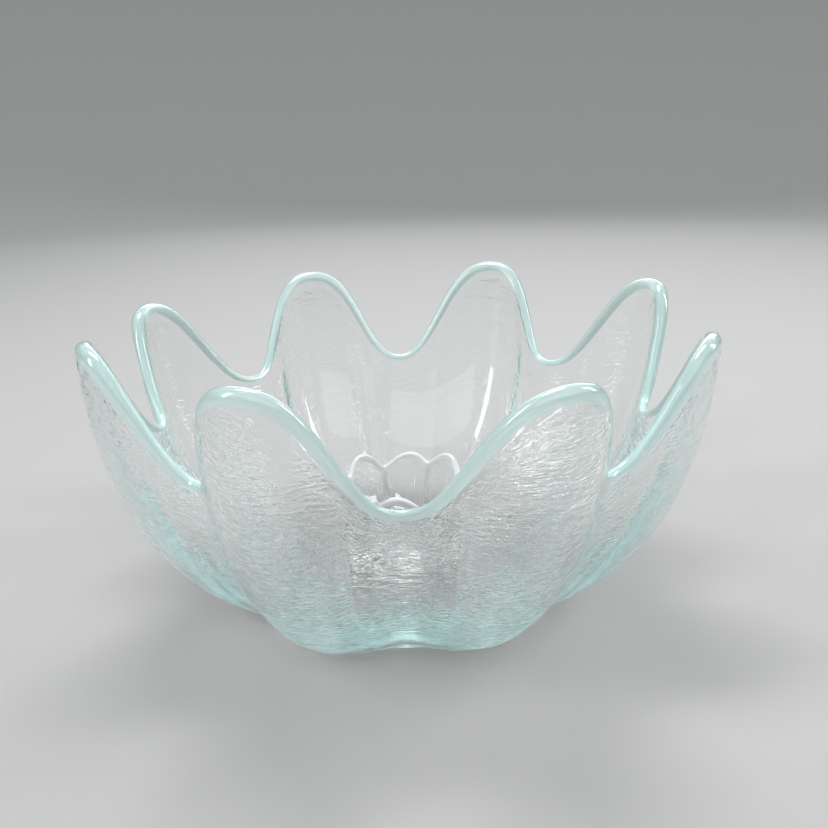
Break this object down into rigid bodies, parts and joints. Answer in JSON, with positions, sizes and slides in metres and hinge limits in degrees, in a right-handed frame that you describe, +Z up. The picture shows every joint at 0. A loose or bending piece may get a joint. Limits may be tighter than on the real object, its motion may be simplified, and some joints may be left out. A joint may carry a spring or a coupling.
{
  "type": "glass lotus bowl with candle cup",
  "caption": "Deep lotus bowl of thick pale aqua glass with wavy petal rim and rippled outside, holding a loose fluted clear glass candle cup that lifts out.",
  "frame": {"origin": "centre of the foot, on the surface the bowl stands on", "axes": "+Z up along the bowl's axis; a valley between two petals lies on each of the X and Y axes, and the -Y side is the front"},
  "size_m": [0.238, 0.238, 0.1215],
  "materials": {
    "aqua_glass": "fire-polished rim and inside, fine horizontal ripples outside",
    "clear_glass": "fire-polished"
  },
  "bodies": {
    "bowl": {"bowl": "aqua_glass"},
    "candle_cup": {"candle_cup": "clear_glass"}
  },
  "joints": [
    {"name": "cup_lift", "type": "slide", "parent": "bowl", "child": "candle_cup", "axis": [0, 0, 1], "range_m": [0, 0.12]}
  ]
}
